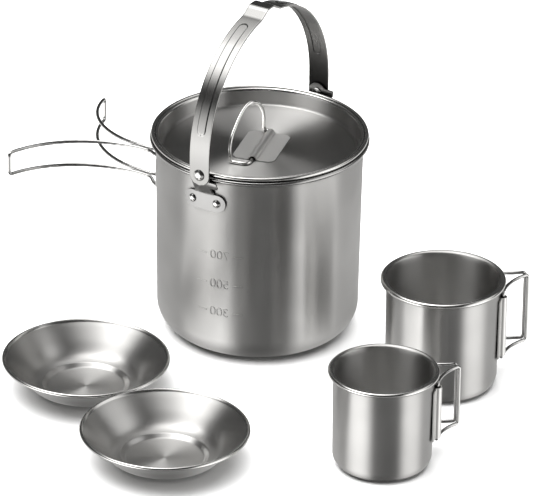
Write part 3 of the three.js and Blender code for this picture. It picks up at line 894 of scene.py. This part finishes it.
def build_handles():
    h = POT_HANDLE
    angle = math.degrees(math.atan2(h["span"], h["hinge"]))
    radius = math.hypot(h["span"], h["hinge"])
    place = placed(0, 0, 0, h["azimuth"])
    z0, z1 = h["mid"] - h["sleeve"] / 2, h["mid"] + h["sleeve"] / 2
    mesh = sleeve_mesh(POT["r"], [-angle, angle], radius, h["wing"], z0, z1)
    piece = soften(new_object("pot_handle_bracket_plate", *mesh, sheet_steel, place, sharp=35), 0.18)
    settle(piece, "pot", ["pot_handle_bracket"])
    for name, side in (("front", 1), ("back", -1)):
        node = "pot_handle_" + name
        path = loop_path(pot_handle_plan(side), 8.0, 6.6)
        piece = new_object(node + "_wire", *sweep(path, WIRE, 16), wire_steel, place)
        settle(piece, node, [node])
    for mug in (LARGE_MUG, SMALL_MUG):
        place = placed(mug["x"], mug["y"], 0, MUG_HANDLE["azimuth"])
        hinge_r = mug["r"] + SLEEVE["inner"] + PIN_GAP
        wing = math.degrees((SLEEVE["outer"] + MUG_HANDLE["wing"]) / mug["r"])
        for name, side in (("front", -1), ("back", 1)):
            mesh = sleeve_mesh(mug["r"], [side * MUG_HANDLE["hinge"]], hinge_r, wing, *mug["sleeve"])
            piece = new_object(f"{mug['name']}_{name}_sleeve_plate", *mesh, sheet_steel, place, sharp=35)
            soften(piece, 0.18)
            settle(piece, mug["name"], [f"{mug['name']}_{name}_sleeve"])
            node = f"{mug['name']}_{name}_loop"
            path = loop_path(mug_loop_plan(mug, side), 8.0, 3.2)
            piece = new_object(node + "_wire", *sweep(path, WIRE, 16), wire_steel, place)
            settle(piece, node, [node])


# ---------------------------------------------------------------- stage, light and camera


LOBES = [
    # azimuth, elevation, half width, softness, height squeeze, strength. Negative strength takes light away.
    (-147, -22, 20, 18, 0.75, 1.75),
    (-25, -4, 15, 20, 0.5, 1.25),
    (176, 75, 16, 18, 1.0, 2.6),
    (8, 38, 12, 14, 1.0, 1.0),
    (-172, 60, 13, 13, 1.0, 1.7),
    (95, 56, 9, 12, 1.0, 1.3),
    (-83, -15, 16, 34, 0.3, -0.42),
    (0, -90, 42, 24, 1.0, -0.66),
]
AMBIENT = 0.06
GROUND = 0.84                 # added below the horizon
DARKEST = 0.03


def studio_world():
    """A dim room with soft bright panels round it, which is what the steel reflects."""
    world = bpy.data.worlds.new("studio")
    bpy.context.scene.world = world
    world.use_nodes = True
    tree = world.node_tree
    coords = node(tree, "TexCoord").outputs["Generated"]
    total = None
    for azimuth, elevation, half, soft, squeeze, strength in LOBES:
        squashed = node(tree, "VectorMath", {0: coords, 1: (1, 1, squeeze)}, operation="MULTIPLY").outputs[0]
        unit = node(tree, "VectorMath", {0: squashed}, operation="NORMALIZE").outputs[0]
        up = math.radians(elevation)
        towards = Vector(polar(math.cos(up), azimuth, squeeze * math.sin(up))).normalized()
        facing = node(tree, "VectorMath", {0: unit, 1: towards}, operation="DOT_PRODUCT").outputs["Value"]
        low, high = math.cos(math.radians(half + soft)), math.cos(math.radians(max(half - soft, 0.5)))
        value = ranged(tree, facing, low, high, 0.0, strength, interpolation_type="SMOOTHSTEP")
        total = value if total is None else combined(tree, "ADD", total, value)
    height = node(tree, "SeparateXYZ", {0: coords}).outputs["Z"]
    below = ranged(tree, height, 0.05, -0.3, AMBIENT, AMBIENT + GROUND, interpolation_type="SMOOTHSTEP")
    lit = combined(tree, "MAXIMUM", combined(tree, "ADD", total, below), DARKEST)
    background = tree.nodes["Background"]
    background.inputs["Color"].default_value = (1.0, 0.995, 0.985, 1)
    tree.links.new(lit, background.inputs["Strength"])


def overhead_light():
    """A wide soft light over the set, in metres, that the steel doesn't mirror."""
    where, target = Vector((-0.2, 0.1, 1.7)), Vector((0, -0.03, 0.0))
    data = bpy.data.lights.new("overhead", "AREA")
    data.shape = "RECTANGLE"
    data.size = data.size_y = 3.0
    data.energy = 105
    lamp = bpy.data.objects.new("overhead", data)
    lamp.location = where
    lamp.rotation_euler = (target - where).to_track_quat("-Z", "Y").to_euler()
    lamp.visible_glossy = False
    bpy.context.collection.objects.link(lamp)


def build_stage():
    bpy.ops.mesh.primitive_plane_add(size=40, location=(0, 0, 0))
    floor = bpy.context.object
    floor.name = "floor"
    pale = {"Base Color": (0.9, 0.9, 0.9, 1), "Roughness": 0.85, "Specular IOR Level": 0.1}
    floor.data.materials.append(surface("pale_floor", "BsdfPrincipled", pale)[0])
    floor.visible_glossy = False
    bpy.ops.mesh.primitive_uv_sphere_add(segments=48, ring_count=24, radius=14, location=(0, 0, 0))
    dome = bpy.context.object
    dome.name = "pale_backdrop"
    glow = {"Color": (0.93, 0.93, 0.93, 1)}
    dome.data.materials.append(surface("pale_backdrop", "Emission", glow)[0])
    dome.visible_diffuse = dome.visible_glossy = dome.visible_shadow = dome.visible_transmission = False
    studio_world()
    overhead_light()
    view = bpy.context.scene.view_settings
    view.view_transform = "Standard"
    view.look = "None"


# The place is in metres, and the tilt from straight down and the roll are in degrees.
CAMERA = dict(place=(0.0047, -3.2923, 1.7076), tilt=63.224, roll=0.88, lens=439.0)


def build_camera():
    data = bpy.data.cameras.new("camera")
    data.sensor_width = 36.0
    data.lens = CAMERA["lens"]
    data.clip_end = 50.0
    camera = bpy.data.objects.new("camera", data)
    tilt = Matrix.Rotation(math.radians(CAMERA["tilt"]), 4, "X")
    roll = Matrix.Rotation(math.radians(CAMERA["roll"]), 4, "Z")
    camera.matrix_world = Matrix.Translation(CAMERA["place"]) @ tilt @ roll
    bpy.context.collection.objects.link(camera)
    bpy.context.scene.camera = camera


build_camera()
build_stage()
build_vessels()
build_bail()
build_lid_fittings()
build_handles()
